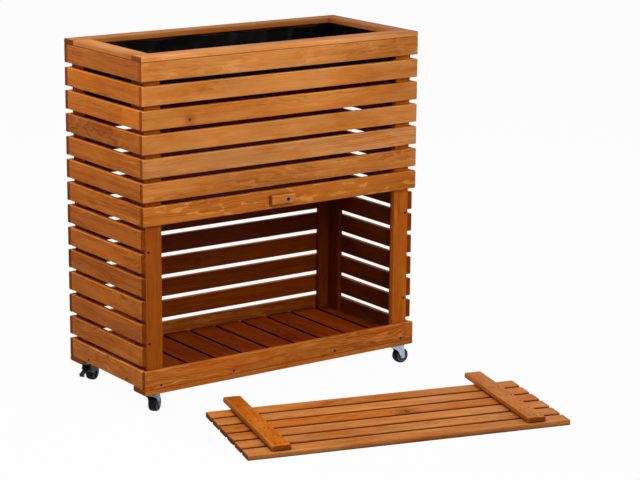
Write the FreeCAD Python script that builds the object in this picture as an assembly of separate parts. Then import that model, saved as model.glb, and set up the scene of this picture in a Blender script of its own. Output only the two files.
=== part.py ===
import FreeCAD, Part
import math
import os

# Raised timber planter on four swivel castors, in millimetres. The origin is on the floor under
# the middle of the planter, +X runs to the right along the front and +Y runs to the back.

# Overall size and the board stock
outer_width = 802.0
outer_depth = 365.0
board_thick = 13.0
board_ease = 1.5
slat_height = 45.5
slat_gap = 11.5
rim_width = 45.0
post_width = 44.0
runner_width = 55.0

# Courses, counted from the bottom board, which is course 0
course_count = 14
first_front_course = 7

# Clearances: between pieces of timber, round a turning pin, between faces that slide, and the
# length by which a cut runs past what it cuts
fit_gap = 0.5
running_gap = 0.05
face_gap = 0.3
overrun = 5.0

# Floors of loose-laid boards
deck_board_width = 71.5
deck_gap = 8.0
trough_depth = 122.5
bearer_height = 30.0

# Liner of the planting trough
liner_wall = 2.0
liner_corner_cut = 8.0
liner_below_rim = 3.0
liner_side_gap = 0.5

# Turn button on the lowest front slat
button_long_arm = 46.5
button_short_arm = 22.0
button_height = 22.0
button_screw_radius = 2.0
button_screw_head_radius = 3.8
button_screw_head_height = 2.0
button_screw_bite = 9.0

# Lift-off front panel, lying on the floor in front of the planter with its battens up
panel_courses = 6
batten_width = 44.0
batten_side_clearance = 4.0
batten_top_setback = 9.0
panel_place_x = 66.0
panel_place_y = -519.0
panel_turn_deg = -15.7

# Castors: the plate is screwed under the runner, and the fork swivels under it
castor_inset_x = 35.0
castor_inset_y = 29.5
castor_trail = 18.0
plate_side = 42.0
plate_thick = 2.0
plate_corner_cut = 5.0
race_radius = 13.0
race_height = 3.0
kingpin_radius = 4.0
kingpin_nut_width = 12.0
kingpin_nut_height = 1.8
nut_sides = 6
fork_metal = 2.0
fork_gap = 22.0
fork_front_reach = 14.0
fork_back_reach = 21.0
fork_apron = 4.0
fork_throat_x = 3.5
fork_throat_drop = 19.5
fork_lug_wall = 3.5
fork_corner_cut = 3.0
fork_eye_radius = 6.5
axle_radius = 3.0
axle_nut_width = 8.0
axle_nut_height = 2.4
wheel_radius = 20.0
wheel_head_room = 7.7
tyre_depth = 5.0
tyre_width = 20.0
hub_side_gap = 0.3

# Brake lever of the back castors
lever_width = 13.0
lever_metal = 2.2
lever_pivot_x = -8.0
lever_pivot_drop = 19.5
lever_barrel_radius = 3.2
lever_pin_radius = 1.8
lever_nut_width = 5.5
lever_nut_height = 1.5
lever_reach = 29.0
lever_fall = 7.0
lever_lip = 7.0
lever_shoe_thick = 3.0
lever_travel_deg = 25.0

# Direction in which each fork trails behind its swivel axis, seen from above
front_left_trail_deg = 36.0
front_right_trail_deg = -1.0
back_left_trail_deg = 32.0
back_right_trail_deg = 18.0

# Places that follow from the sizes above
half_width = outer_width / 2
half_depth = outer_depth / 2
inner_half_width = half_width - board_thick
inner_half_depth = half_depth - board_thick
course_pitch = slat_height + slat_gap
castor_height = (plate_thick + race_height + face_gap + fork_metal + wheel_head_room
                 + 2 * wheel_radius)
runner_top = castor_height + board_thick
rim_bottom = runner_top + (course_count - 1) * course_pitch + slat_height
rim_top = rim_bottom + board_thick
post_inner_x = inner_half_width - post_width
post_side_face_x = inner_half_width - board_thick
post_front_back_y = inner_half_depth - board_thick
post_end_y = post_front_back_y - post_width
trough_floor_top = rim_top - trough_depth
trough_floor_bottom = trough_floor_top - board_thick


def point(x, y, z):
    return FreeCAD.Vector(x, y, z)


def save(name, *solids):
    shape = solids[0] if len(solids) == 1 else Part.makeCompound(list(solids))
    shape.exportStep("parts/" + name + ".step")


def board(corner, size):
    """A planed board from its low corner, with its long edges eased and its ends cut square."""
    block = Part.makeBox(size.x, size.y, size.z, corner)
    longest = max(size.x, size.y, size.z)
    eased = [edge for edge in block.Edges if edge.Length > longest - board_ease]
    return block.makeChamfer(board_ease, eased)


def plank(corner, size):
    """A sawn board with square edges, from its low corner."""
    return Part.makeBox(size.x, size.y, size.z, corner)


def course_bottom(course):
    return runner_top + course * course_pitch


def long_slat(course, y_low):
    """A slat that runs the full width, over the ends of the side slats."""
    corner = point(-half_width, y_low, course_bottom(course))
    return board(corner, point(outer_width, board_thick, slat_height))


def side_slat(course, x_low):
    """A slat between the front and back slats, flush with the outer faces of the posts."""
    corner = point(x_low, -inner_half_depth, course_bottom(course))
    return board(corner, point(board_thick, 2 * inner_half_depth, slat_height))


def make_walls():
    front_y = -half_depth
    back_y = inner_half_depth
    left_x = -half_width
    right_x = inner_half_width
    upper = range(1, course_count)
    for course in range(first_front_course, course_count):
        slat = long_slat(course, front_y)
        if course == first_front_course:
            slat = slat.cut(button_screw_hole(button_screw_radius))
        save("front_slat_" + str(course_count - course), slat)
    save("back_slats", *[long_slat(course, back_y) for course in upper])
    save("left_slats", *[side_slat(course, left_x) for course in upper])
    save("right_slats", *[side_slat(course, right_x) for course in upper])
    save("front_bottom_board", long_slat(0, front_y))
    save("back_bottom_board", long_slat(0, back_y))
    save("left_bottom_board", side_slat(0, left_x))
    save("right_bottom_board", side_slat(0, right_x))


def post_boards(x_side, y_side):
    """The two boards of an L-shaped corner post: one behind the front or back slats, one behind
    the side slats."""
    face_x = post_inner_x if x_side > 0 else -inner_half_width
    face_y = post_front_back_y if y_side > 0 else -inner_half_depth
    side_x = post_side_face_x if x_side > 0 else -inner_half_width
    side_y = post_end_y if y_side > 0 else -post_front_back_y
    height = rim_bottom - runner_top
    face = plank(point(face_x, face_y, runner_top), point(post_width, board_thick, height))
    side = plank(point(side_x, side_y, runner_top), point(board_thick, post_width, height))
    return face, side


def make_posts():
    for y_name, y_side in (("front", -1), ("back", 1)):
        for x_name, x_side in (("left", -1), ("right", 1)):
            face, side = post_boards(x_side, y_side)
            name = "post_" + y_name + "_" + x_name
            save(name + "_face", face)
            save(name + "_side", side)


def make_rim():
    """A flat frame of four boards, with the short ones between the long ones."""
    long_size = point(outer_width, rim_width, board_thick)
    short_size = point(rim_width, outer_depth - 2 * rim_width, board_thick)
    back_y = half_depth - rim_width
    right_x = half_width - rim_width
    save("rim_front", board(point(-half_width, -half_depth, rim_bottom), long_size))
    save("rim_back", board(point(-half_width, back_y, rim_bottom), long_size))
    save("rim_left", board(point(-half_width, -back_y, rim_bottom), short_size))
    save("rim_right", board(point(right_x, -back_y, rim_bottom), short_size))


def make_runners():
    size = point(outer_width, runner_width, board_thick)
    back_y = half_depth - runner_width
    save("runner_front", board(point(-half_width, -half_depth, castor_height), size))
    save("runner_back", board(point(-half_width, back_y, castor_height), size))


def post_room(z_low):
    """The space that the face boards of the posts take up, with a fit gap, at a floor's height."""
    size = point(post_width + 2 * fit_gap, board_thick + 2 * fit_gap, 3 * board_thick)
    rooms = []
    for x_low in (-inner_half_width - fit_gap, post_inner_x - fit_gap):
        for y_low in (-inner_half_depth - fit_gap, post_front_back_y - fit_gap):
            rooms.append(Part.makeBox(size.x, size.y, size.z, point(x_low, y_low, z_low - board_thick)))
    return rooms


def deck(y_front, y_back, z_low):
    """Boards laid from front to back. The last one is ripped to fill the width, and the outer
    ones are notched round the posts."""
    boards = []
    x_end = post_side_face_x - fit_gap
    x_low = -x_end
    while x_low < x_end - deck_gap:
        width = min(deck_board_width, x_end - x_low)
        corner = point(x_low, y_front, z_low)
        laid = plank(corner, point(width, y_back - y_front, board_thick))
        for room in post_room(z_low):
            if laid.common(room).Volume > 0:
                laid = laid.cut(room)
        boards.append(laid)
        x_low = x_low + deck_board_width + deck_gap
    return boards


def make_floors():
    storage_front = -(post_front_back_y - fit_gap)
    save("storage_floor", *deck(storage_front, inner_half_depth - fit_gap, runner_top))
    reach = inner_half_depth - fit_gap
    save("trough_floor", *deck(-reach, reach, trough_floor_bottom))
    length = 2 * (post_inner_x - fit_gap)
    size = point(length, board_thick, bearer_height)
    z_low = trough_floor_bottom - bearer_height
    save("trough_bearer_front", plank(point(-length / 2, -inner_half_depth, z_low), size))
    save("trough_bearer_back", plank(point(-length / 2, post_front_back_y, z_low), size))


def liner_block(inset, top):
    """A block that fills the trough but for an inset, with its upright corners cut off."""
    half_x = post_side_face_x - liner_side_gap - inset
    half_y = post_front_back_y - liner_side_gap - inset
    z_low = trough_floor_top + inset
    block = Part.makeBox(2 * half_x, 2 * half_y, top - z_low, point(-half_x, -half_y, z_low))
    upright = [edge for edge in block.Edges if edge.BoundBox.XLength + edge.BoundBox.YLength < liner_wall]
    return block.makeChamfer(liner_corner_cut - inset / 2, upright)


def make_liner():
    top = rim_bottom - liner_below_rim
    save("liner", liner_block(0, top).cut(liner_block(liner_wall, top + overrun)))


def button_axis_z():
    return course_bottom(first_front_course) + slat_height / 2


def button_screw_hole(radius):
    start = point(0, -half_depth - 2 * board_thick, button_axis_z())
    length = 2 * board_thick + face_gap + button_screw_bite
    return Part.makeCylinder(radius, length, start, point(0, 1, 0))


def make_button():
    """A block that turns on one screw. Its long arm swings down over the panel's top slat."""
    front = -half_depth - face_gap - board_thick
    corner = point(-button_long_arm, front, button_axis_z() - button_height / 2)
    size = point(button_long_arm + button_short_arm, board_thick, button_height)
    block = board(corner, size)
    save("turn_button", block.cut(button_screw_hole(button_screw_radius + running_gap)))
    seat = point(0, front - face_gap, button_axis_z())
    shank_length = 2 * face_gap + board_thick + button_screw_bite
    shank = Part.makeCylinder(button_screw_radius, shank_length, seat, point(0, 1, 0))
    head = Part.makeCylinder(button_screw_head_radius, button_screw_head_height, seat, point(0, -1, 0))
    save("turn_button_screw", shank.fuse(head))


def place_panel(shape):
    placed = shape.copy()
    placed.rotate(point(0, 0, 0), point(0, 0, 1), panel_turn_deg)
    placed.translate(point(panel_place_x, panel_place_y, 0))
    return placed


def make_panel():
    """Six slats on two battens. The battens reach past the lower slat, down to the runner when the
    panel is in place, and stand just inside the posts."""
    height = panel_courses * course_pitch - slat_gap
    for number in range(panel_courses):
        corner = point(-half_width, -height / 2 + number * course_pitch, 0)
        slat = board(corner, point(outer_width, slat_height, board_thick))
        save("panel_slat_" + str(number + 1), place_panel(slat))
    foot = slat_gap + slat_height
    length = height + foot - batten_top_setback
    outer_x = post_inner_x - batten_side_clearance
    for name, x_low in (("left", -outer_x), ("right", outer_x - batten_width)):
        corner = point(x_low, -height / 2 + batten_top_setback, board_thick)
        batten = board(corner, point(batten_width, length, board_thick))
        save("panel_batten_" + name, place_panel(batten))


def upright_cylinder(radius, z_low, z_high):
    return Part.makeCylinder(radius, z_high - z_low, point(0, 0, z_low))


# Heights in a castor, measured down from the face that is screwed to the runner
race_bottom = -(plate_thick + race_height)
crown_top = race_bottom - face_gap
crown_bottom = crown_top - fork_metal
axle_z = wheel_radius - castor_height


def hexagon_bar(width, length):
    """A hexagonal bar, as wide as given across its flats, that stands on the origin."""
    reach = width / math.sqrt(3)
    turns = [math.radians(360 * number / nut_sides) for number in range(nut_sides)]
    corners = [point(reach * math.cos(turn), reach * math.sin(turn), 0) for turn in turns]
    return Part.Face(Part.makePolygon(corners + corners[:1])).extrude(point(0, 0, length))


def castor_plate():
    """A plate with its race, and the kingpin through both, with a nut under the crown."""
    half = plate_side / 2
    plate = Part.makeBox(plate_side, plate_side, plate_thick, point(-half, -half, -plate_thick))
    corners = [edge for edge in plate.Edges if abs(edge.Length - plate_thick) < running_gap]
    plate = plate.makeChamfer(plate_corner_cut, corners)
    race = upright_cylinder(race_radius, race_bottom, -plate_thick)
    nut_bottom = crown_bottom - face_gap - kingpin_nut_height
    pin = upright_cylinder(kingpin_radius, nut_bottom, race_bottom)
    nut = hexagon_bar(kingpin_nut_width, kingpin_nut_height)
    nut.translate(point(0, 0, nut_bottom))
    return plate.fuse([race, pin, nut])


def tangent_point(outside, centre, radius, side):
    """Where the line from a point touches a circle in the XZ plane. The side is +1 or -1."""
    reach = outside.sub(centre)
    turn = side * math.acos(radius / reach.Length)
    direction = math.atan2(reach.z, reach.x) + turn
    return centre.add(point(radius * math.cos(direction), 0, radius * math.sin(direction)))


def fork_outline(with_lever):
    """Side view of the fork: crown, front apron and the arm down to the axle eye. A throat is cut
    in the front of the arm, but not where the arm holds the bolt of a lever as a lug."""
    eye = point(castor_trail, 0, axle_z)
    front_top = point(-fork_front_reach, 0, crown_top)
    front_low = point(-fork_front_reach, 0, crown_top - fork_apron)
    throat = point(fork_throat_x, 0, -fork_throat_drop)
    front_corners = [front_top, front_low, throat]
    if with_lever:
        front_low.z = -(lever_pivot_drop + lever_pin_radius + fork_lug_wall)
        front_corners = [front_top, front_low]
    back_top = point(fork_back_reach, 0, crown_top)
    low_touch = tangent_point(front_corners[-1], eye, fork_eye_radius, 1)
    back_touch = tangent_point(back_top, eye, fork_eye_radius, -1)
    lowest = eye.add(point(0, 0, -fork_eye_radius))
    edges = Part.makePolygon(front_corners + [low_touch]).Edges + [
        Part.Arc(low_touch, lowest, back_touch).toShape(),
        Part.LineSegment(back_touch, back_top).toShape(),
        Part.LineSegment(back_top, front_top).toShape(),
    ]
    return Part.Wire(edges)


def castor_fork(with_lever):
    """A fork pressed from one sheet: a crown with two arms and a turned-down front apron. The
    bolts of the wheel and of the lever are fixed in its arms."""
    width = fork_gap + 2 * fork_metal
    blank = Part.Face(fork_outline(with_lever))
    blank.translate(point(0, -width / 2, 0))
    body = blank.extrude(point(0, width, 0))
    front = [edge for edge in body.Edges if edge.BoundBox.XMax < -fork_front_reach + running_gap
             and edge.BoundBox.YLength < running_gap]
    body = body.makeChamfer(fork_corner_cut, front)
    inner_front = -fork_front_reach + fork_metal
    depth = castor_height
    channel = Part.makeBox(2 * castor_height, fork_gap, depth,
                           point(inner_front, -fork_gap / 2, crown_bottom - depth))
    bend = [edge for edge in channel.Edges if edge.BoundBox.XMax < inner_front + running_gap
            and edge.BoundBox.YLength < running_gap]
    channel = channel.makeChamfer(fork_corner_cut - fork_metal / 2, bend)
    front_opening = Part.makeBox(castor_height, fork_gap, depth,
                                 point(inner_front - castor_height, -fork_gap / 2,
                                       crown_top - fork_apron - depth))
    body = body.cut([channel, front_opening])
    body = body.cut(upright_cylinder(kingpin_radius + running_gap, crown_bottom - overrun,
                                     crown_top + overrun))
    bolts = cross_bolt(axle_radius, axle_nut_width, axle_nut_height, castor_trail, axle_z)
    if with_lever:
        bolts += cross_bolt(lever_pin_radius, lever_nut_width, lever_nut_height, lever_pivot_x,
                            -lever_pivot_drop)
    return body.fuse(bolts)


def cross_pin(radius, length, x, z):
    """A cylinder across the castor, centred on its middle plane."""
    return Part.makeCylinder(radius, length, point(x, -length / 2, z), point(0, 1, 0))


def cross_bolt(radius, nut_width, nut_height, x, z):
    """A bolt through both arms, with a hexagonal head on one side and a nut on the other."""
    width = fork_gap + 2 * fork_metal
    length = width + 2 * nut_height
    ends = hexagon_bar(nut_width, length)
    ends.rotate(point(0, 0, 0), point(1, 0, 0), -90)
    ends.translate(point(x, -length / 2, z))
    ends = ends.cut(cross_pin(nut_width, width, x, z))
    return [cross_pin(radius, width, x, z)] + ends.Solids


def ring(outer_radius, inner_radius, width):
    outside = cross_pin(outer_radius, width, castor_trail, axle_z)
    return outside.cut(cross_pin(inner_radius, width + 2 * overrun, castor_trail, axle_z))


def castor_tyre():
    return ring(wheel_radius, wheel_radius - tyre_depth, tyre_width)


def castor_hub():
    return ring(wheel_radius - tyre_depth, axle_radius + running_gap, fork_gap - 2 * hub_side_gap)


def brake_lever():
    """A pressed lever on a cross pin. Its pedal sticks out in front of the fork, and its shoe
    swings against the tyre when the pedal is pressed down."""
    pivot = point(lever_pivot_x, 0, -lever_pivot_drop)
    wheel_centre = point(castor_trail, 0, axle_z)
    tip = pivot.add(point(-lever_reach, 0, -lever_fall))
    pedal = lever_strip(pivot, tip, lever_metal)
    lip_top = tip.add(point(0, 0, lever_metal / 2))
    lip = lever_strip(lip_top, tip.add(point(lever_metal, 0, -lever_lip)), lever_metal)
    towards = wheel_centre.sub(pivot)
    shoe_reach = towards.Length - wheel_radius - face_gap
    shoe_angle = math.atan2(towards.z, towards.x) - math.radians(lever_travel_deg)
    shoe_end = pivot.add(point(shoe_reach * math.cos(shoe_angle), 0, shoe_reach * math.sin(shoe_angle)))
    shoe = lever_strip(pivot, shoe_end, lever_shoe_thick)
    barrel = cross_pin(lever_barrel_radius, lever_width, pivot.x, pivot.z)
    bore = cross_pin(lever_pin_radius + running_gap, lever_width + 2 * overrun, pivot.x, pivot.z)
    return pedal.fuse([lip, shoe, barrel]).removeSplitter().cut(bore)


def lever_strip(start, end, thick):
    """A flat strip across the width of the lever."""
    run = end.sub(start)
    side = point(-run.z, 0, run.x)
    side.multiply(thick / 2 / run.Length)
    corners = [start.add(side), end.add(side), end.sub(side), start.sub(side)]
    face = Part.Face(Part.makePolygon(corners + corners[:1]))
    face.translate(point(0, -lever_width / 2, 0))
    return face.extrude(point(0, lever_width, 0))


def make_castor(name, place, trail_deg, with_lever):
    swivelled = {"fork": castor_fork(with_lever), "hub": castor_hub(), "tyre": castor_tyre()}
    if with_lever:
        swivelled["brake"] = brake_lever()
    for piece, shape in swivelled.items():
        shape.rotate(point(0, 0, 0), point(0, 0, 1), trail_deg)
        shape.translate(place)
        save("castor_" + name + "_" + piece, shape)


def make_castors():
    reach_x = half_width - castor_inset_x
    reach_y = half_depth - castor_inset_y
    plates = []
    for name, x, y, trail_deg, with_lever in (
            ("front_left", -reach_x, -reach_y, front_left_trail_deg, False),
            ("front_right", reach_x, -reach_y, front_right_trail_deg, False),
            ("back_left", -reach_x, reach_y, back_left_trail_deg, True),
            ("back_right", reach_x, reach_y, back_right_trail_deg, True)):
        place = point(x, y, castor_height)
        plate = castor_plate()
        plate.translate(place)
        plates.append(plate)
        make_castor(name, place, trail_deg, with_lever)
    save("castor_plates", *plates)


os.makedirs("parts", exist_ok=True)
make_rim()
make_posts()
make_walls()
make_runners()
make_floors()
make_liner()
make_button()
make_panel()
make_castors()
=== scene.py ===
"""A raised planter of stained softwood on four castors.

Slatted walls stand round a foil-lined trough, with a storage space below it that is open at the front. The slatted
front panel has been lifted off and lies on the floor. The file follows the planter as it is put together.
"""
import math
import random

import bmesh
import bpy
from mathutils import Matrix, Vector, noise


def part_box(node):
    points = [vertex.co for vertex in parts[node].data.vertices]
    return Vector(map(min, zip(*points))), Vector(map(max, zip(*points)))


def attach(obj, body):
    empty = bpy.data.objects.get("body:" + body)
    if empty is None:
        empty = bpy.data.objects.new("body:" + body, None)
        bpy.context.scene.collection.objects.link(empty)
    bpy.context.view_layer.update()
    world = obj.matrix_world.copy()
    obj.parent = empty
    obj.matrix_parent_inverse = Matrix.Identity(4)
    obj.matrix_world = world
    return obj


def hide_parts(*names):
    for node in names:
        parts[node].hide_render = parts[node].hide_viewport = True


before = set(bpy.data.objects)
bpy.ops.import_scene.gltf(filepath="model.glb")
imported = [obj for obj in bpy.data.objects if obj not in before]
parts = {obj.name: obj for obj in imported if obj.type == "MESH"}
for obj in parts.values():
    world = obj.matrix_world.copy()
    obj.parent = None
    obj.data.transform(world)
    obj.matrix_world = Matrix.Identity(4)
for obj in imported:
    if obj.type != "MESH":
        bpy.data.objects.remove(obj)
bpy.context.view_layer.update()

# ---------------------------------------------------------------------------------------------------------------------
# Runners: two flat softwood boards under the body, which carry it on the castors. All the timber of the planter is
# planed spruce or pine, dipped in a thin honey-coloured stain that leaves the grain to be seen.
# ---------------------------------------------------------------------------------------------------------------------


def seen(red, green, blue):
    """A colour as a display shows it, 0 to 255 each, as the linear colour that a shader takes."""
    steps = [value / 255 for value in (red, green, blue)]
    return tuple(v / 12.92 if v <= 0.04045 else ((v + 0.055) / 1.055) ** 2.4 for v in steps) + (1.0,)


def node(tree, kind, inputs=None, **settings):
    """One shader node. An input is a plain value, or the output of another node."""
    made = tree.nodes.new("ShaderNode" + kind)
    for name, value in settings.items():
        setattr(made, name, value)
    for key, value in (inputs or {}).items():
        if isinstance(value, bpy.types.NodeSocket):
            tree.links.new(value, made.inputs[key])
        else:
            made.inputs[key].default_value = value
    return made


def maths(tree, operation, first, second=0.0, third=0.0):
    """The result of one Math node."""
    return node(tree, "Math", {0: first, 1: second, 2: third}, operation=operation).outputs[0]


def hypotenuse(tree, first, second):
    """The length of the long side over two sides at right angles."""
    squares = [maths(tree, "MULTIPLY", side, side) for side in (first, second)]
    return maths(tree, "SQRT", maths(tree, "ADD", *squares))


def dot(tree, first, second):
    """How far one vector reaches along another."""
    return node(tree, "VectorMath", {0: first, 1: second}, operation="DOT_PRODUCT").outputs["Value"]


def ramp(tree, value, low, high, to_low=0.0, to_high=1.0):
    """A value brought smoothly from one range to another, and held at its ends."""
    return node(tree, "MapRange", {"Value": value, "From Min": low, "From Max": high, "To Min": to_low,
                                   "To Max": to_high}, interpolation_type="SMOOTHSTEP").outputs["Result"]


def mottle(tree, place, stretch, detail, roughness=0.5):
    """Noise from 0 to 1 whose grains are stretched by so many per metre along each of the board's directions."""
    scaled = node(tree, "VectorMath", {0: place, 1: stretch}, operation="MULTIPLY").outputs[0]
    return node(tree, "TexNoise", {"Vector": scaled, "Scale": 1.0, "Detail": detail,
                                   "Roughness": roughness}).outputs["Fac"]


def tinted(tree, first, second, share):
    """Two colours mixed by a share."""
    return node(tree, "Mix", {0: share, 6: first, 7: second}, data_type="RGBA").outputs[2]


def toned(tree, colour, tone, share):
    """A colour multiplied by a tone, as far as a share says."""
    full = node(tree, "VectorMath", {0: colour, 1: tone}, operation="MULTIPLY").outputs[0]
    return tinted(tree, colour, full, share)


def new_finish(name):
    """A new material, its node tree and its surface."""
    finish = bpy.data.materials.new(name)
    finish.use_nodes = True
    return finish, finish.node_tree, finish.node_tree.nodes["Principled BSDF"]


def lay_on(tree, surface, colour, roughness, height, depth, strength):
    """Gives a surface its colour, its roughness and a relief of so many metres' depth."""
    relief = node(tree, "Bump", {"Height": height, "Distance": depth, "Strength": strength}).outputs[0]
    for label, value in (("Base Color", colour), ("Roughness", roughness), ("Normal", relief)):
        tree.links.new(value, surface.inputs[label])


def effect_group(name, inputs, outputs):
    """An empty shader group with named inputs (kind and resting value) and outputs (kind)."""
    group = bpy.data.node_groups.new(name, "ShaderNodeTree")
    for label, (kind, value) in inputs.items():
        group.interface.new_socket(label, in_out="INPUT", socket_type="NodeSocket" + kind).default_value = value
    for label, kind in outputs.items():
        group.interface.new_socket(label, in_out="OUTPUT", socket_type="NodeSocket" + kind)
    return group, group.nodes.new("NodeGroupInput").outputs, group.nodes.new("NodeGroupOutput").inputs


# Where a knot is put that a board hasn't got, how much log the boards are cut from, and the width of a year's growth.
nowhere, log_reach, year_width = (9, 9, 9), (9, 9, 9), 0.0031

# What the stain does to the wood's colour: rubbed thin on an edge, which a painted highlight also lightens, rich in a
# blotch, missing in a fleck and dark on open end grain; and the painted shade on an inward side, on a floor board's
# narrow sides and in a joint, where some dust also lies.
pale_wear_and_highlight, rich_stain, bare_wood = (1.38, 1.5, 1.75), (0.93, 0.74, 0.42), (1.25, 1.55, 2.2)
inner_side_shade, end_dark, gap_side_shade = (0.36, 0.24, 0.10), (0.46, 0.34, 0.22), (0.16, 0.10, 0.06)
joint_shade_and_dust = (0.22, 0.13, 0.08)


def stained_softwood():
    """Softwood sawn from a log and stained: rings, fibres, knots, blotches, dark ends, rubbed edges, painted highlight
    and shade.
    """
    group, given, gives = effect_group(
        "stained_softwood",
        {"Grain": ("Vector", (1, 0, 0)), "Face": ("Vector", (0, 0, 1)), "Board": ("Float", 0.0),
         "Shaded inner side": ("Vector", (0, 0, 0)), "Light wood": ("Color", (1, 1, 1, 1)),
         "Dark wood": ("Color", (0, 0, 0, 1)), "Shade": ("Float", 1.0), "Figure": ("Float", 1.0),
         "Knots": ("Float", 0.0), "Own knot": ("Vector", nowhere), "Own knot size": ("Float", 0.004),
         "Joint shade reach": ("Float", 0.005), "Pale flecks": ("Float", 0.12), "Edge tint": ("Vector", pale_wear_and_highlight),
         "Shaded gap sides": ("Float", 0.0)},
        {"Colour": "Color", "Roughness": "Float", "Height": "Float"})
    where = node(group, "TexCoord").outputs
    through = node(group, "VectorMath", {0: given["Grain"], 1: given["Face"]}, operation="CROSS_PRODUCT").outputs[0]
    along, across, deep = (dot(group, where["Object"], way) for way in (given["Grain"], given["Face"], through))

    # Each board is cut from its own place in the log.
    chance = node(group, "TexWhiteNoise", {"W": given["Board"]}, noise_dimensions="1D").outputs["Color"]
    lot = node(group, "SeparateXYZ", {0: chance}).outputs
    board_place = node(group, "CombineXYZ", {0: along, 1: across, 2: deep}).outputs[0]
    log_place = node(group, "VectorMath", {0: chance, 1: log_reach, 2: board_place},
                     operation="MULTIPLY_ADD").outputs[0]

    # Knots are branches that go through the board, at most one to each cell of so many per metre along and across
    # it. A board can also have one knot of its own at a given place.
    knot_cells = (2.6, 16.0, 0.0)
    knot_map = node(group, "VectorMath", {0: log_place, 1: knot_cells}, operation="MULTIPLY").outputs[0]
    branch = node(group, "TexVoronoi", {"Vector": knot_map, "Scale": 1.0}, voronoi_dimensions="2D").outputs
    gap = node(group, "VectorMath", {0: knot_map, 1: branch["Position"]}, operation="SUBTRACT").outputs[0]
    gap = node(group, "VectorMath", {0: gap, 1: (1 / knot_cells[0], 1.25 / knot_cells[1], 0)},
               operation="MULTIPLY").outputs[0]
    knot_gap = node(group, "VectorMath", {0: gap}, operation="LENGTH").outputs["Value"]
    branch_lot = node(group, "SeparateColor", {0: branch["Color"]}).outputs
    grown = maths(group, "LESS_THAN", branch_lot[0], given["Knots"])
    knot_size = ramp(group, branch_lot[1], 0, 1, 0.0025, 0.0065)
    reach = maths(group, "DIVIDE", knot_gap, knot_size)
    knot = maths(group, "MULTIPLY", grown, ramp(group, reach, 0.75, 1.15, 1, 0))
    swirl = maths(group, "MULTIPLY", grown, ramp(group, reach, 0.5, 6.0, 1, 0))
    from_own = node(group, "VectorMath", {0: where["Object"], 1: given["Own knot"]}, operation="SUBTRACT").outputs[0]
    own_gap = hypotenuse(group, *(dot(group, from_own, way) for way in (given["Grain"], given["Face"])))
    own_reach = maths(group, "DIVIDE", own_gap, given["Own knot size"])
    knot = maths(group, "MAXIMUM", knot, ramp(group, own_reach, 0.75, 1.15, 1, 0))
    swirl = maths(group, "MAXIMUM", swirl, ramp(group, own_reach, 0.5, 7.0, 1, 0))

    # Growth rings round a pith that wanders beside the board, which a flat cut shows as long arches.
    pith_gap = maths(group, "MULTIPLY", maths(group, "PINGPONG", maths(group, "ADD", across, lot[0]), 0.075), 0.8)
    pith_depth = maths(group, "ADD", maths(group, "PINGPONG", maths(group, "ADD", deep, lot[1]), 0.05), 0.024)
    wander = maths(group, "MULTIPLY", mottle(group, log_place, (3.2, 9, 9), 4, 0.55), 0.042)
    shiver = maths(group, "MULTIPLY", mottle(group, log_place, (26, 70, 70), 2), 0.0022)
    radius = maths(group, "ADD", maths(group, "ADD", hypotenuse(group, pith_gap, pith_depth), wander), shiver)
    radius = maths(group, "MULTIPLY_ADD", swirl, 0.006, radius)
    year = maths(group, "FRACT", maths(group, "DIVIDE", radius, year_width))
    late_wood = maths(group, "MULTIPLY", maths(group, "POWER", year, 1.7), ramp(group, year, 0.84, 1.0, 1, 0))
    bands = maths(group, "SINE", maths(group, "MULTIPLY", radius, 520.0))
    clearest = ramp(group, mottle(group, log_place, (3, 13, 13), 2), 0.38, 0.62, 0.25, 1.35)
    shown = maths(group, "MULTIPLY", given["Figure"], clearest)

    # Streaks, lines and fibres run along the grain. The stain takes unevenly: rich blotches, pale flecks that it
    # missed, and wider patches that it soaked.
    streaks = mottle(group, log_place, (2.5, 85, 85), 3)
    lines = mottle(group, log_place, (5, 190, 190), 2)
    fibres = mottle(group, log_place, (14, 420, 420), 2)
    blotches = mottle(group, log_place, (7, 24, 24), 4, 0.6)
    tone = maths(group, "MULTIPLY_ADD", maths(group, "MULTIPLY", late_wood, shown), 0.7, 0.2)
    tone = maths(group, "MULTIPLY_ADD", maths(group, "MULTIPLY", bands, shown), 0.12, tone)
    for grains, weight in ((streaks, 0.6), (lines, 0.8), (fibres, 0.4), (lot[2], 0.35)):
        tone = maths(group, "MULTIPLY_ADD", maths(group, "SUBTRACT", grains, 0.5), weight, tone)
    colour = tinted(group, given["Light wood"], given["Dark wood"], ramp(group, tone, -0.1, 1.1))
    colour = toned(group, colour, rich_stain, ramp(group, blotches, 0.42, 0.66, 0, 0.85))
    fleck_place = node(group, "VectorMath", {0: log_place, 1: (3.3, 1.7, 0.9)}, operation="ADD").outputs[0]
    flecks = ramp(group, mottle(group, fleck_place, (17, 62, 62), 3, 0.6), 0.56, 0.62)
    pale = node(group, "VectorMath", {0: given["Light wood"], 1: bare_wood}, operation="MULTIPLY").outputs[0]
    colour = tinted(group, colour, pale, maths(group, "MULTIPLY", flecks, given["Pale flecks"]))
    soaked_patches = ramp(group, mottle(group, log_place, (4, 9, 9), 3), 0.3, 0.7, 0.86, 1.12)
    soaked = maths(group, "MULTIPLY", given["Shade"], soaked_patches)
    soaked = maths(group, "MULTIPLY", soaked, ramp(group, swirl, 0, 1, 1.0, 0.72))
    depth = node(group, "CombineXYZ", {0: soaked, 1: maths(group, "POWER", soaked, 1.2),
                                       2: maths(group, "POWER", soaked, 1.7)}).outputs[0]
    colour = node(group, "VectorMath", {0: colour, 1: depth}, operation="MULTIPLY").outputs[0]
    colour = tinted(group, colour, seen(82, 34, 10), maths(group, "MULTIPLY", knot, 0.85))
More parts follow.
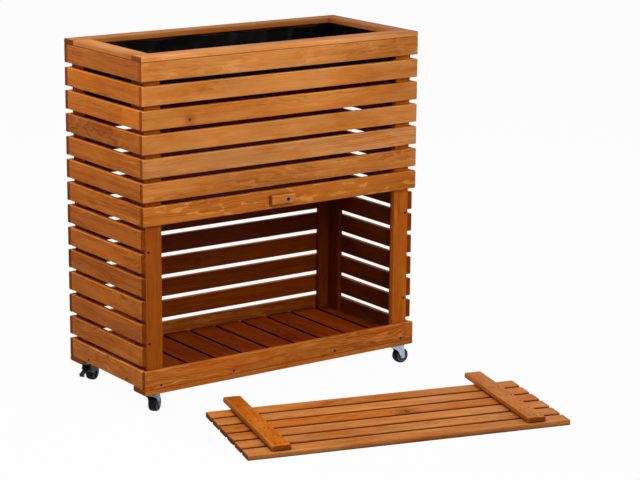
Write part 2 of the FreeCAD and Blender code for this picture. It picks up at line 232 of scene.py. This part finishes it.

    # The open end grain drinks the stain and goes dark. The side that a board turns inwards and a floor board's narrow
    # sides are painted darker, as painted shade. On most boards the edge tint lightens the eased edges, as worn stain
    # and a painted highlight; on the rim, the panel and the floors it darkens them, as painted shade.
    shaded_inner_side = ramp(group, dot(group, where["Normal"], given["Shaded inner side"]), 0.5, 0.9)
    colour = toned(group, colour, inner_side_shade, shaded_inner_side)
    ways = [maths(group, "ABSOLUTE", dot(group, where["Normal"], way))
            for way in (given["Grain"], given["Face"], through)]
    end = ramp(group, ways[0], 0.75, 0.95)
    colour = toned(group, colour, end_dark, end)
    squareness = maths(group, "MAXIMUM", maths(group, "MAXIMUM", ways[0], ways[1]), ways[2])
    # The streaks vary how much an edge is lightened, by wear and by a painted highlight.
    worn = ramp(group, streaks, 0.35, 0.6, 0.2, 0.7)
    arris = maths(group, "MULTIPLY", ramp(group, squareness, 0.78, 0.97, 1, 0), worn)
    colour = toned(group, colour, given["Edge tint"], arris)
    sides = maths(group, "MULTIPLY", ramp(group, ways[1], 0.06, 0.3), given["Shaded gap sides"])
    colour = toned(group, colour, gap_side_shade, sides)

    # Painted shade darkens the joints and gaps, with some dust.
    openness = node(group, "AmbientOcclusion", {"Distance": given["Joint shade reach"]}, samples=8).outputs["AO"]
    colour = toned(group, colour, joint_shade_and_dust, ramp(group, openness, 0.42, 0.90, 1, 0))
    group.links.new(colour, gives["Colour"])

    # The fibres and the end grain are duller than the rest, and the grain and the knots can just be felt.
    sheen = maths(group, "MULTIPLY_ADD", fibres, 0.16, ramp(group, blotches, 0.3, 0.7, 0.40, 0.50))
    group.links.new(maths(group, "MULTIPLY_ADD", end, 0.25, sheen), gives["Roughness"])
    relief = maths(group, "MULTIPLY_ADD", late_wood, -0.35, maths(group, "MULTIPLY", fibres, 0.5))
    group.links.new(maths(group, "MULTIPLY_ADD", knot, 0.6, relief), gives["Height"])
    return group


softwood = stained_softwood()

# The stain's tones on light and dark wood, from the palest board to the storage floor, whose deep tone is partly
# painted shade.
honey = seen(206, 138, 78), seen(160, 98, 47)
straw = seen(206, 134, 69), seen(161, 94, 42)
tan = seen(205, 129, 60), seen(160, 90, 35)
amber = seen(203, 120, 46), seen(158, 82, 24)
saddle = seen(200, 113, 31), seen(154, 76, 12)
russet = seen(196, 106, 28), seen(149, 70, 11)
chestnut_and_shade = seen(162, 67, 11), seen(116, 40, 5)


def timber(name, grain, face, board, stain, shade=1.0, figure=1.0, knots=0.0, shaded_inner_side=(0, 0, 0), flecks=0.12,
           own_knot=nowhere, knot_size=0.004, joint_shade_reach=0.005, gloss=0.06, edge=pale_wear_and_highlight, shaded_gap_sides=0.0,
           row=None, row_shades=()):
    """Stained softwood for one board, or for a row of boards in one solid.

    Grain and face are the ways along and across the board, board is the number that picks its place in the log, and the
    shaded inner side is the way that a side faces which is painted darker, as painted shade. A row (axis, first edge,
    pitch) gives each board its own place in the log, and its own shade where there are row shades, from the first board
    to the last.
    """
    finish, tree, surface = new_finish(name)
    number = float(board)
    if row:
        axis, first, pitch = row
        spot = node(tree, "SeparateXYZ", {0: node(tree, "TexCoord").outputs["Object"]}).outputs["XYZ".index(axis)]
        step = maths(tree, "DIVIDE", maths(tree, "SUBTRACT", spot, first), pitch)
        number = maths(tree, "ADD", maths(tree, "FLOOR", step), float(board))
        if row_shades:
            by_course = node(tree, "ValToRGB", {0: maths(tree, "DIVIDE", step, float(len(row_shades)))})
            by_course.color_ramp.interpolation = "CONSTANT"
            stops = by_course.color_ramp.elements
            stops[1].position = 1 / len(row_shades)
            for course, value in enumerate(row_shades):
                stop = stops[course] if course < 2 else stops.new(course / len(row_shades))
                stop.color = (value, value, value, 1.0)
            shade = by_course.outputs["Color"]
    wood = node(tree, "Group", {
        "Grain": grain, "Face": face, "Shaded inner side": shaded_inner_side, "Board": number, "Light wood": stain[0],
        "Dark wood": stain[1], "Shade": shade, "Figure": figure, "Knots": knots, "Own knot": own_knot,
        "Own knot size": knot_size, "Joint shade reach": joint_shade_reach, "Pale flecks": flecks, "Edge tint": edge,
        "Shaded gap sides": shaded_gap_sides}, node_tree=softwood).outputs
    lay_on(tree, surface, wood["Colour"], wood["Roughness"], wood["Height"], depth=0.0004, strength=0.6)
    surface.inputs["Specular IOR Level"].default_value = gloss
    return finish


def joined_faces():
    """A modifier's node group that joins a solid's faces at their shared edges, so that an edge can be rounded."""
    group = bpy.data.node_groups.new("joined_faces", "GeometryNodeTree")
    for side in ("INPUT", "OUTPUT"):
        group.interface.new_socket("Solid", in_out=side, socket_type="NodeSocketGeometry")
    start, end = group.nodes.new("NodeGroupInput"), group.nodes.new("NodeGroupOutput")
    merge, smooth = (group.nodes.new("GeometryNode" + kind) for kind in ("MergeByDistance", "SetShadeSmooth"))
    merge.inputs["Distance"].default_value = 0.00002
    group.links.new(start.outputs[0], merge.inputs[0])
    group.links.new(merge.outputs[0], smooth.inputs[0])
    group.links.new(smooth.outputs[0], end.inputs[0])
    return group


joining = joined_faces()


def finish_part(name, finish, edge):
    """Gives a CAD part its material, and rounds its edges a little as sandpaper or a press tool leaves them."""
    solid = parts[name]
    for slot in solid.material_slots:
        slot.material = finish
    solid.modifiers.new("joined", "NODES").node_group = joining
    round_over = solid.modifiers.new("round_over", "BEVEL")
    round_over.width, round_over.segments = edge, 2
    round_over.limit_method, round_over.angle_limit = "ANGLE", math.radians(30)
    solid.modifiers.new("shading", "WEIGHTED_NORMAL").keep_sharp = True


along_x, along_y, upright = (1, 0, 0), (0, 1, 0), (0, 0, 1)
planed_edge, sawn_edge = 0.0006, 0.0009
for number, name in enumerate(("runner_front", "runner_back")):
    finish_part(name, timber(name, along_x, along_y, 10 + number, amber, shade=0.9), sawn_edge)

# ---------------------------------------------------------------------------------------------------------------------
# Castors: light furniture castors of pressed, zinc-plated steel with a swivelling fork. The wheel has a grey plastic
# hub and a soft black tyre. The two at the back have a brake lever. Each is screwed to a runner with four screws.
# ---------------------------------------------------------------------------------------------------------------------


def metal(name, colour, roughness, streak):
    """Plated or bare metal, clouded where hands and air have dulled it, and darkened by painted shade in hollows and
    near other parts.
    """
    finish, tree, surface = new_finish(name)
    place = node(tree, "TexCoord").outputs["Object"]
    clouds = mottle(tree, place, (90, 90, 90), 4, 0.6)
    scratches = mottle(tree, place, (300, 2500, 900), 2)
    dull, hollow_shade = (tuple(value * share for value in colour[:3]) + (1.0,) for share in (0.62, 0.08))
    plated = tinted(tree, colour, dull, ramp(tree, clouds, 0.35, 0.75))
    openness = node(tree, "AmbientOcclusion", {"Distance": 0.02}, samples=8).outputs["AO"]
    used = tinted(tree, plated, hollow_shade, ramp(tree, openness, 0.35, 0.85, 1, 0))
    dullness = maths(tree, "MULTIPLY_ADD", clouds, streak, roughness)
    lay_on(tree, surface, used, dullness, scratches, depth=0.00005, strength=0.5)
    surface.inputs["Metallic"].default_value = 1.0
    return finish


def moulded(name, colour, worn, roughness, grain, gloss):
    """Moulded plastic or rubber, with a fine grain and dust that lightens it in places."""
    finish, tree, surface = new_finish(name)
    place = node(tree, "TexCoord").outputs["Object"]
    dust = mottle(tree, place, (130, 130, 130), 4, 0.65)
    pores = mottle(tree, place, (grain, grain, grain), 2)
    used = tinted(tree, colour, worn, ramp(tree, dust, 0.45, 0.8))
    dullness = maths(tree, "MULTIPLY_ADD", dust, 0.2, roughness)
    lay_on(tree, surface, used, dullness, pores, depth=0.0001, strength=0.5)
    surface.inputs["Specular IOR Level"].default_value = gloss
    return finish


# The forks are one zinc in three brightnesses, which paint the reflection each shows: the front right one bright, the
# front left one darker and the two at the back nearly black, as painted shade.
zinc = metal("zinc_plate", seen(182, 192, 210), 0.22, 0.3)
dim_reflection_zinc = metal("dim_reflection_zinc", seen(118, 120, 128), 0.24, 0.3)
dark_reflection_zinc = metal("dark_reflection_zinc", seen(50, 51, 56), 0.3, 0.3)
hub_plastic = moulded("hub_plastic", seen(70, 76, 90), seen(112, 118, 130), 0.34, 1500, 0.4)
tyre_rubber = moulded("tyre_rubber", seen(9, 9, 10), seen(30, 29, 29), 0.5, 2200, 0.12)
lever_black = moulded("lever_black", seen(18, 19, 22), seen(48, 48, 50), 0.32, 900, 0.25)
screw_steel = metal("screw_steel", seen(92, 88, 84), 0.34, 0.2)


def add_mesh(name, points, faces, finish, body):
    """A new piece from its points and faces, with its material in a slot and the body that it rides on."""
    mesh = bpy.data.meshes.new(name)
    mesh.from_pydata(points, [], faces)
    shell = bmesh.new()
    shell.from_mesh(mesh)
    bmesh.ops.recalc_face_normals(shell, faces=shell.faces)
    shell.to_mesh(mesh)
    shell.free()
    mesh.materials.append(finish)
    mesh.polygons.foreach_set("use_smooth", [True] * len(mesh.polygons))
    mesh.set_sharp_from_angle(angle=math.radians(40))
    piece = bpy.data.objects.new(name, mesh)
    bpy.context.scene.collection.objects.link(piece)
    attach(piece, body)
    return piece


def screw_heads(name, places, outward, radius, finish, body, cross=True):
    """Countersunk heads driven flush, each with a cross recess, or plain nail heads, as one piece.

    Sizes within a head are shares of its radius.
    """
    turn_out = Vector(upright).rotation_difference(Vector(outward)).to_matrix()
    rings = ((1.0, -0.12), (0.94, 0.10), (0.72, 0.16), (0.55, 0.16), (0.38, 0.16), (0.2, 0.16))
    recess_reach, recess_half_width, recess_floor, dome = 0.6, 0.15, 0.02, 0.18
    turn_between, spokes = 0.7, 24
    points, faces = [], []
    for number, place in enumerate(places):
        start, turn = len(points), turn_between * number
        for share, height in rings:
            for spoke in range(spokes):
                angle = 2 * math.pi * spoke / spokes
                across, up = share * math.cos(angle), share * math.sin(angle)
                in_recess = cross and share < recess_reach and min(abs(across), abs(up)) < recess_half_width
                lift = recess_floor if in_recess else height
                flat = Matrix.Rotation(turn, 3, "Z") @ Vector((across, up, lift))
                points.append(Vector(place) + turn_out @ (radius * flat))
        points.append(Vector(place) + turn_out @ Vector((0, 0, radius * (recess_floor if cross else dome))))
        for ring in range(len(rings) - 1):
            for spoke in range(spokes):
                here, there = start + ring * spokes, start + (ring + 1) * spokes
                after = (spoke + 1) % spokes
                faces.append((here + spoke, here + after, there + after, there + spoke))
        inner = start + (len(rings) - 1) * spokes
        faces += [(inner + spoke, inner + (spoke + 1) % spokes, len(points) - 1) for spoke in range(spokes)]
    return add_mesh(name, points, faces, finish, body)


finish_part("castor_plates", zinc, 0.0003)
castor_x, castor_y, plate_screw_gap, plate_under, screw_radius = 0.366, 0.153, 0.0155, 0.0530, 0.0034
plate_screw_places = [
    (side_x * castor_x + step_x * plate_screw_gap, side_y * castor_y + step_y * plate_screw_gap, plate_under)
    for side_x in (-1, 1) for side_y in (-1, 1) for step_x in (-1, 1) for step_y in (-1, 1)]
screw_heads("castor_plate_screws", plate_screw_places, (0, 0, -1), screw_radius, screw_steel,
            "planter")


def turned(name, half_profile, centre, axis, finish, body):
    """A ring turned round an axis.

    The half profile (height on the axis, radius) runs from its inside to its middle or its outside, and is mirrored.
    """
    profile = list(half_profile) + [(-height, radius) for height, radius in reversed(half_profile) if height > 0]
    turn_out = Vector(upright).rotation_difference(Vector(axis)).to_matrix()
    steps, count, points, faces = 72, len(profile), [], []
    for step in range(steps):
        angle = 2 * math.pi * step / steps
        for height, radius in profile:
            spot = Vector((radius * math.cos(angle), radius * math.sin(angle), height))
            points.append(Vector(centre) + turn_out @ spot)
        after = (step + 1) % steps
        faces += [(step * count + i, after * count + i, after * count + (i + 1) % count, step * count + (i + 1) % count)
                  for i in range(count)]
    return add_mesh(name, points, faces, finish, body)


# The hub has a thin web between a boss and its rim, and the tyre has a crowned tread. Each castor stands turned about
# its kingpin by its own angle.
hub_profile = ((0.0107, 0.00305), (0.0107, 0.0055), (0.0101, 0.0062), (0.0056, 0.0068), (0.0048, 0.0077),
               (0.0048, 0.0110), (0.0056, 0.0120), (0.0088, 0.0127), (0.0096, 0.0134), (0.0096, 0.01495))
tyre_profile = ((0.0100, 0.0150), (0.0100, 0.0166), (0.0096, 0.0178), (0.0086, 0.0187), (0.0068, 0.0194),
                (0.0044, 0.0198), (0.0012, 0.0200), (0.0004, 0.01985))
for corner, turn, fork_finish in (("front_left", 36, dim_reflection_zinc), ("front_right", -1, zinc),
                                  ("back_left", 32, dark_reflection_zinc), ("back_right", 18, dark_reflection_zinc)):
    low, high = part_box(f"castor_{corner}_tyre")
    wheel_centre = (low + high) / 2
    wheel_axis = (-math.sin(math.radians(turn)), math.cos(math.radians(turn)), 0)
    finish_part(f"castor_{corner}_fork", fork_finish, 0.0004)
    for part, profile, finish in (("hub", hub_profile, hub_plastic), ("tyre", tyre_profile, tyre_rubber)):
        piece = turned(f"castor_{corner}_{part}_turned", profile, wheel_centre, wheel_axis, finish,
                       f"{corner}_wheel")
        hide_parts(f"castor_{corner}_{part}")
for corner in ("back_left", "back_right"):
    finish_part(f"castor_{corner}_brake", lever_black, 0.0004)

# ---------------------------------------------------------------------------------------------------------------------
# Corner posts: two sawn softwood boards in an L at each corner, which stand on the runners. The walls are screwed to
# them, and two bearers between them carry the trough.
# ---------------------------------------------------------------------------------------------------------------------
side_board_darker = 0.08
# The back posts' sides that face into the planter are painted darker, as painted shade.
for number, (corner, shade, inward) in enumerate((
        ("front_left", 0.71, (0, 0, 0)), ("front_right", 0.98, (0, 0, 0)),
        ("back_left", 0.85, (1, -1, 0)), ("back_right", 0.85, (-1, -1, 0)))):
    for step, (board, face) in enumerate((("face", along_x), ("side", along_y))):
        name = f"post_{corner}_{board}"
        post = timber(name, upright, face, 20 + 4 * step + number, russet, shade=shade - side_board_darker * step,
                      figure=0.6, knots=0.2, shaded_inner_side=inward, joint_shade_reach=0.002)
        finish_part(name, post, sawn_edge)
for number, name in enumerate(("trough_bearer_front", "trough_bearer_back")):
    finish_part(name, timber(name, along_x, upright, 30 + number, russet, shade=0.8, knots=0.4), sawn_edge)

# ---------------------------------------------------------------------------------------------------------------------
# Walls: planed slats with eased edges, screwed to the posts with a finger's gap between them, over a deeper board at
# the bottom. The front slats stop above the storage space. The side slats end flush with the front and back ones.
# ---------------------------------------------------------------------------------------------------------------------
outer_front, outer_side, post_front = -0.1825, 0.401, -0.1695

# Each front course from the top: its stain, shade, figure, pale flecks and own knot.
front_courses = (
    (straw, 0.92, 0.7, 0.3, nowhere), (straw, 0.97, 0.5, 0.05, nowhere),
    (tan, 0.96, 0.5, 0.08, (-0.2711, outer_front, 0.7105)), (straw, 0.95, 0.4, 0.05, nowhere),
    (honey, 0.98, 0.7, 0.1, nowhere), (tan, 0.97, 0.9, 0.25, nowhere), (amber, 0.88, 1.0, 0.85, nowhere))
# Each front slat's inner side is painted darker, as painted shade.
for number, (stain, shade, figure, flecks, own_knot) in enumerate(front_courses, 1):
    name = f"front_slat_{number}"
    slat = timber(name, along_x, upright, 40 + number, stain, shade=shade, figure=figure, shaded_inner_side=along_y,
                  flecks=flecks, own_knot=own_knot)
    finish_part(name, slat, planed_edge)

# On the other walls one solid holds all the courses, whose shades run from the lowest to the highest.
lowest_slat, slat_pitch = 0.11925, 0.057
left_shades = (0.90, 0.90, 0.88, 0.87, 0.88, 0.94, 0.96, 0.99, 1.03, 0.72, 0.99, 0.94, 0.82)
# The back courses' shades are partly painted light and shade for the wall's inside, lightest at the lowest course.
back_shades = (1.2, 1.0, 1.0, 0.65, 0.9, 1.0, 0.95, 1.0, 0.9, 0.97, 0.88, 1.0, 0.93)
right_shades = (0.85, 0.9, 0.82, 0.92, 0.86, 0.8, 0.93, 0.88, 0.8, 0.92, 0.84, 0.9, 0.86)
# The walls' inner sides are painted darker, as painted shade.
for number, (name, grain, inward, shades, own_knot) in enumerate((
        ("back", along_x, (0, -1, 0), back_shades, (0.214, -outer_front, 0.712)),
        ("left", along_y, (1, 0, 0), left_shades, nowhere),
        ("right", along_y, (-1, 0, 0), right_shades, (outer_side, 0.052, 0.596)))):
    courses = timber(f"{name}_slats", grain, upright, 60 + 20 * number, saddle, figure=0.9, shaded_inner_side=inward,
                     own_knot=own_knot, row=("Z", lowest_slat, slat_pitch), row_shades=shades)
    finish_part(f"{name}_slats", courses, planed_edge)


def two_sides(border):
    """A row of two, for a board whose shade is painted different before and behind a border across the planter's depth.
    """
    reach = 0.1
    return "Y", border - reach, reach


# The back bottom board is painted darker inside than outside, as painted shade.
shaded_inside_border = 0.1710
back_board = timber("back_bottom_board", along_x, upright, 131, amber, figure=2.2, flecks=0.3,
                    row=two_sides(shaded_inside_border), row_shades=(0.6, 0.95))
finish_part("back_bottom_board", back_board, planed_edge)
# The other bottom boards' inner sides are painted darker, as painted shade.
for number, name, grain, inward, shade, figure in (
        (130, "front", along_x, (0, 1, 0), 0.96, 1.4), (132, "left", along_y, (1, 0, 0), 1.0, 1.0),
        (133, "right", along_y, (-1, 0, 0), 0.87, 0.8)):
    board = timber(f"{name}_bottom_board", grain, upright, number, amber, shade=shade, figure=figure, shaded_inner_side=inward,
                   flecks=0.3)
    finish_part(f"{name}_bottom_board", board, planed_edge)

# The screw and nail heads are dark brown.
dark_brown_steel = moulded("dark_brown_steel", seen(16, 11, 8), seen(44, 27, 16), 0.45, 1200, 0.08)
post_screw_x, post_screw_heights, board_screw_z, side_screw_z = 0.380, (0.178, 0.402), 0.076, 0.077
side_screw_radius = 0.0032
post_screws = [(side * post_screw_x, post_front, z) for side in (-1, 1) for z in post_screw_heights]
screw_heads("post_screws", post_screws, (0, -1, 0), screw_radius, dark_brown_steel, "planter")
front_screws = [(x, outer_front, board_screw_z) for x in (-0.3565, -0.1495, 0.1536, 0.3628)]
screw_heads("front_board_screws", front_screws, (0, -1, 0), screw_radius, dark_brown_steel, "planter")
back_screws = [(x, -outer_front, board_screw_z) for x in (-0.358, -0.152, 0.151, 0.361)]
screw_heads("back_board_screws", back_screws, (0, 1, 0), screw_radius, dark_brown_steel, "planter")
for side, name in ((-1, "left"), (1, "right")):
    side_screws = [(side * outer_side, y, side_screw_z) for y in (-0.096, 0.090)]
    screw_heads(f"{name}_board_screws", side_screws, (side, 0, 0), side_screw_radius, dark_brown_steel,
                "planter")

# ---------------------------------------------------------------------------------------------------------------------
# Storage floor and trough floor: sawn boards that run from front to back, laid loose on the runners and on the
# bearers, with gaps that let water through.
# ---------------------------------------------------------------------------------------------------------------------
# The floor boards' narrow sides and edges are painted dark, and their joints darker still, as painted shade in the
# gaps.
first_deck_board, deck_pitch, deck_edge = -0.3785, 0.0795, 0.0034
for number, name in enumerate(("storage_floor", "trough_floor")):
    boards = timber(name, along_y, along_x, 140 + 20 * number, chestnut_and_shade, shade=1.02, knots=0.4, flecks=0.0,
                    joint_shade_reach=0.03, gloss=0.02, edge=(0.2, 0.14, 0.1), shaded_gap_sides=1.0,
                    row=("X", first_deck_board, deck_pitch))
    finish_part(name, boards, deck_edge)

# ---------------------------------------------------------------------------------------------------------------------
# Liner: one rectangle of thin black foil, pushed down into the trough and stapled under the rim. It hangs in slack
# folds between the staples, and its corners are folded flat against the short sides, as a parcel's are.
# ---------------------------------------------------------------------------------------------------------------------
half_length, half_width, liner_floor, liner_height = 0.3735, 0.1550, 0.7464, 0.1036
staple_pitch, cell = 0.149, 0.0074


def steps_across(half):
    """Places across the flat foil: one wall strip, the floor and the other wall strip, in cells of about one size."""
    wall_cells, floor_cells = round(liner_height / cell), round(2 * half / cell)
    wall = [liner_height * step / wall_cells for step in range(1, wall_cells + 1)]
    floor_line = [-half + 2 * half * step / floor_cells for step in range(floor_cells + 1)]
    return [-half - up for up in reversed(wall)] + floor_line + [half + up for up in wall]


def hanging_slack(along, height, half, seed):
    """How far a wall of foil stands in from the boards: upright folds, and bellies between the staples."""
    maker = random.Random(seed)
    slack, fold, last_fold, waist = 0.0, -half + 0.03, half - 0.02, 0.05
    narrowing = 1.25 - 4 * height
    while fold < last_fold:
        lean, width, depth = maker.uniform(-0.25, 0.25), maker.uniform(0.006, 0.016), maker.uniform(0.001, 0.0062)
        offset = (along - fold - lean * (height - waist)) / (width * narrowing)
        slack += depth * math.exp(-offset * offset)
        fold += maker.uniform(0.022, 0.085)
    belly_depth, ripple_depth, corner_reach, floor_reach = 0.0028, 0.0016, 0.018, 0.012
    belly = math.sin(math.pi * (along + half) / staple_pitch) ** 2
    slack += belly_depth * belly * (height / liner_height) ** 2
    slack += ripple_depth * (1 + noise.noise(Vector((along * 22, height * 30, seed))))
    near_corner = min(1.0, (half - abs(along)) / corner_reach)
    near_floor = min(1.0, height / floor_reach)
    return slack * max(0.0, near_corner) * near_floor


def floor_crease(x, y):
    """How far the foil lifts off the trough floor in shallow creases, most of them near its corners."""
    swell_height, ray_height, ray_reach, flat_edge = 0.0030, 0.006, 0.06, 0.01
    from_end, from_side = half_length - abs(x), half_width - abs(y)
    swell = abs(noise.noise(Vector((x * 7, y * 9, 3.1)))) * swell_height
    corner_gap = math.hypot(from_end, from_side)
    rays = abs(noise.noise(Vector((math.atan2(from_side, from_end + 1e-6) * 5, 3 if x > 0 else 7,
                                   1 if y > 0 else 5))))
    edge = min(1.0, from_end / flat_edge, from_side / flat_edge)
    return (swell + ray_height * rays * math.exp(-corner_gap / ray_reach)) * max(0.0, edge)


def hung(flat_x, flat_y):
    """Where a point of the flat foil comes to lie in the trough."""
    sag_depth, fold_run, upper_layer, under_layer = 0.0035, 0.006, 0.0011, 0.0024
    side_x, side_y = math.copysign(1, flat_x), math.copysign(1, flat_y)
    over_x, over_y = max(0.0, abs(flat_x) - half_length), max(0.0, abs(flat_y) - half_width)
    sag = sag_depth * math.sin(math.pi * (abs(flat_x) + half_length) / staple_pitch) ** 2
    if over_x == 0 and over_y == 0:
        return Vector((flat_x, flat_y, liner_floor + floor_crease(flat_x, flat_y)))
    if over_x == 0:
        slack = hanging_slack(flat_x, over_y, half_length, 11 if side_y > 0 else 12)
        return Vector((flat_x, side_y * (half_width - slack), liner_floor + over_y * (1 - sag / liner_height)))
    height, fold = max(over_x, over_y), min(over_x, over_y)
    y = flat_y if over_y == 0 else side_y * (half_width - fold)
    layer = 0.0
    if over_y > 0:
        layer = min(1.0, fold / fold_run) * (upper_layer if over_x >= over_y else under_layer)
    slack = hanging_slack(y, height, half_width, 13 if side_x > 0 else 14)
    return Vector((side_x * (half_length - slack - layer), y, liner_floor + height))


flat_xs, flat_ys = steps_across(half_length), steps_across(half_width)
foil_points = [hung(x, y) for y in flat_ys for x in flat_xs]
row_length = len(flat_xs)
foil_faces = [(row * row_length + step, row * row_length + step + 1, (row + 1) * row_length + step + 1,
               (row + 1) * row_length + step)
              for row in range(len(flat_ys) - 1) for step in range(row_length - 1)]
foil, tree, surface = new_finish("liner_foil")
place = node(tree, "TexCoord").outputs["Object"]
crinkle = mottle(tree, place, (60, 60, 60), 5, 0.65)
dust = mottle(tree, place, (9, 9, 9), 3)
dusty = tinted(tree, seen(5, 6, 5), seen(15, 15, 15), ramp(tree, dust, 0.4, 0.8))
dullness = maths(tree, "MULTIPLY_ADD", crinkle, 0.3, 0.3)
lay_on(tree, surface, dusty, dullness, crinkle, depth=0.0016, strength=0.7)
surface.inputs["Specular IOR Level"].default_value = 0.07
liner_bag = add_mesh("liner_bag", foil_points, foil_faces, foil, "planter")
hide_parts("liner")

# ---------------------------------------------------------------------------------------------------------------------
# Rim: four flat softwood boards fixed on top of the walls, which cover the liner's edge. The front one's edge is
# painted paler than its top, as painted light.
# ---------------------------------------------------------------------------------------------------------------------
# The rim boards' edges are painted darker, as painted shade along their seams.
rim_edge, seam_shade_edge = 0.0011, (0.9, 0.85, 0.8)
painted_light_border = outer_front + 0.0012
front_rim = timber("rim_front", along_x, along_y, 179, honey, figure=0.6, joint_shade_reach=0.008, edge=seam_shade_edge,
                   row=two_sides(painted_light_border), row_shades=(1.2, 0.84))
finish_part("rim_front", front_rim, rim_edge)
for number, (name, grain, face, stain, shade) in enumerate((
        ("rim_back", along_x, along_y, straw, 0.56), ("rim_left", along_y, along_x, straw, 0.77),
        ("rim_right", along_y, along_x, tan, 0.57)), 181):
    board = timber(name, grain, face, number, stain, shade=shade, figure=0.6, joint_shade_reach=0.008, edge=seam_shade_edge)
    finish_part(name, board, rim_edge)

# ---------------------------------------------------------------------------------------------------------------------
# Turn button: a short bar of the same stained softwood, held to the lowest front slat by the one screw that it turns
# on. It swings down over the panel's top slat and keeps the panel in place.
# ---------------------------------------------------------------------------------------------------------------------
button_wood = timber("turn_button", along_x, upright, 190, straw, shade=0.92, flecks=0.4)
finish_part("turn_button", button_wood, sawn_edge)
finish_part("turn_button_screw", dark_brown_steel, 0.0003)

# ---------------------------------------------------------------------------------------------------------------------
# Front panel: six planed slats nailed to two sawn battens, all of the same stained softwood. It lies on the floor with
# the battens up, turned a little from the planter.
# ---------------------------------------------------------------------------------------------------------------------
panel_turn = math.radians(-15.7)
panel_long = (math.cos(panel_turn), math.sin(panel_turn), 0)
panel_cross = (-math.sin(panel_turn), math.cos(panel_turn), 0)

# Each panel course: its stain, shade and own knot.
panel_courses = ((straw, 0.95, nowhere), (straw, 0.88, nowhere), (straw, 1.02, nowhere),
                 (amber, 0.92, (0.125, -0.5188, 0.013)), (straw, 1.0, nowhere), (tan, 0.92, nowhere))
# The slats' edges and the gaps between them are painted darker, as painted shade.
for number, (stain, shade, own_knot) in enumerate(panel_courses, 1):
    name = f"panel_slat_{number}"
    slat = timber(name, panel_long, panel_cross, 200 + number, stain, shade=shade, figure=0.8, own_knot=own_knot,
                  knot_size=0.0075, joint_shade_reach=0.02, edge=(0.8, 0.7, 0.6))
    finish_part(name, slat, planed_edge)
for number, (name, stain, shade) in enumerate((
        ("panel_batten_left", saddle, 0.92), ("panel_batten_right", tan, 0.88))):
    batten = timber(name, panel_cross, panel_long, 210 + number, stain, shade=shade, figure=0.6, flecks=0.3)
    finish_part(name, batten, sawn_edge)

# Three nails hold each slat to each batten, a little out of line, as a hand sets them.
panel_middle = Vector((0.066, -0.519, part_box("panel_batten_left")[1].z))
batten_reach, nail_gap, middle_course, nail_radius = 0.318, 0.012, 2.5, 0.0021
nail_picker = random.Random(5)
nail_places = []
for side in (-1, 1):
    for course in range(len(panel_courses)):
        for step in (-1, 0, 1):
            along = side * batten_reach + step * nail_gap + nail_picker.uniform(-0.003, 0.003)
            cross = (course - middle_course) * slat_pitch + nail_picker.uniform(-0.006, 0.006)
            nail_places.append(panel_middle + along * Vector(panel_long) + cross * Vector(panel_cross))
screw_heads("batten_nails", nail_places, upright, nail_radius, dark_brown_steel, "front_panel",
            cross=False)

# ---------------------------------------------------------------------------------------------------------------------
# Studio: a white floor that keeps a faint shadow, white surroundings and five large soft lamps. Two of them stand in
# front of the planter, one at either side and one behind.
# ---------------------------------------------------------------------------------------------------------------------


def shown_white(tree):
    """1 for the rays that see the surroundings themselves, or their image in metal, foil or glass."""
    light_path = node(tree, "LightPath").outputs
    kinds = (light_path["Is Camera Ray"], light_path["Is Glossy Ray"], light_path["Is Transmission Ray"])
    return maths(tree, "MAXIMUM", maths(tree, "MAXIMUM", kinds[0], kinds[1]), kinds[2])


half_floor, floor_gap = 9.0, 0.0003
floor_mesh = bpy.data.meshes.new("studio_floor")
floor_mesh.from_pydata([(-half_floor, -half_floor, 0), (half_floor, -half_floor, 0), (half_floor, half_floor, 0),
                        (-half_floor, half_floor, 0)], [], [(0, 1, 2, 3)])
floor = bpy.data.objects.new("studio_floor", floor_mesh)
bpy.context.scene.collection.objects.link(floor)
floor.location.z = -floor_gap
floor_paint, tree, matt = new_finish("studio_floor")
white_share = maths(tree, "MULTIPLY", shown_white(tree), 0.97)
matt.inputs["Base Color"].default_value = (0.5, 0.5, 0.5, 1)
matt.inputs["Roughness"].default_value = 0.9
matt.inputs["Specular IOR Level"].default_value = 0.0
glow = node(tree, "Emission", {"Color": (1, 1, 1, 1), "Strength": 1.0})
paper = node(tree, "MixShader", {0: white_share, 1: matt.outputs[0], 2: glow.outputs[0]})
tree.links.new(paper.outputs[0], tree.nodes["Material Output"].inputs["Surface"])
floor_mesh.materials.append(floor_paint)

sky = bpy.data.worlds.new("studio_white")
sky.use_nodes = True
tree = sky.node_tree
plain = node(tree, "Background", {"Color": (1, 1, 1, 1), "Strength": 0.06})
white = node(tree, "Background", {"Color": (1, 1, 1, 1), "Strength": 1.0})
both = node(tree, "MixShader", {0: shown_white(tree), 1: plain.outputs[0], 2: white.outputs[0]})
tree.links.new(both.outputs[0], tree.nodes["World Output"].inputs["Surface"])
bpy.context.scene.world = sky


planter_middle = (0, 0, 0.4)


def soft_lamp(name, place, size, watts):
    """A square soft box that looks at the planter."""
    light = bpy.data.lights.new(name, "AREA")
    light.size, light.energy = size, watts
    lamp = bpy.data.objects.new(name, light)
    lamp.location = place
    lamp.rotation_euler = (Vector(planter_middle) - Vector(place)).to_track_quat("-Z", "Y").to_euler()
    bpy.context.scene.collection.objects.link(lamp)


soft_lamp("front_box", (-0.6, -2.5, 2.0), 1.5, 50)
soft_lamp("right_box", (0.8, -2.6, 1.7), 1.3, 9)
soft_lamp("side_box", (-1.3, -0.3, 2.2), 1.0, 35)
soft_lamp("back_box", (-0.7, 2.6, 1.3), 1.5, 26)
soft_lamp("far_box", (2.8, -0.2, 1.2), 1.5, 26)

view = bpy.data.cameras.new("photo_view")
view.sensor_width, view.lens = 36.0, 119.264
view.clip_end = 60.0
camera = bpy.data.objects.new("photo_view", view)
camera.location = (-2.8572, -4.333, 1.6092)
camera.rotation_euler = [math.radians(angle) for angle in (76.342, -0.4525, -35.4048)]
bpy.context.scene.collection.objects.link(camera)
bpy.context.scene.camera = camera
bpy.context.scene.view_settings.view_transform = "Standard"
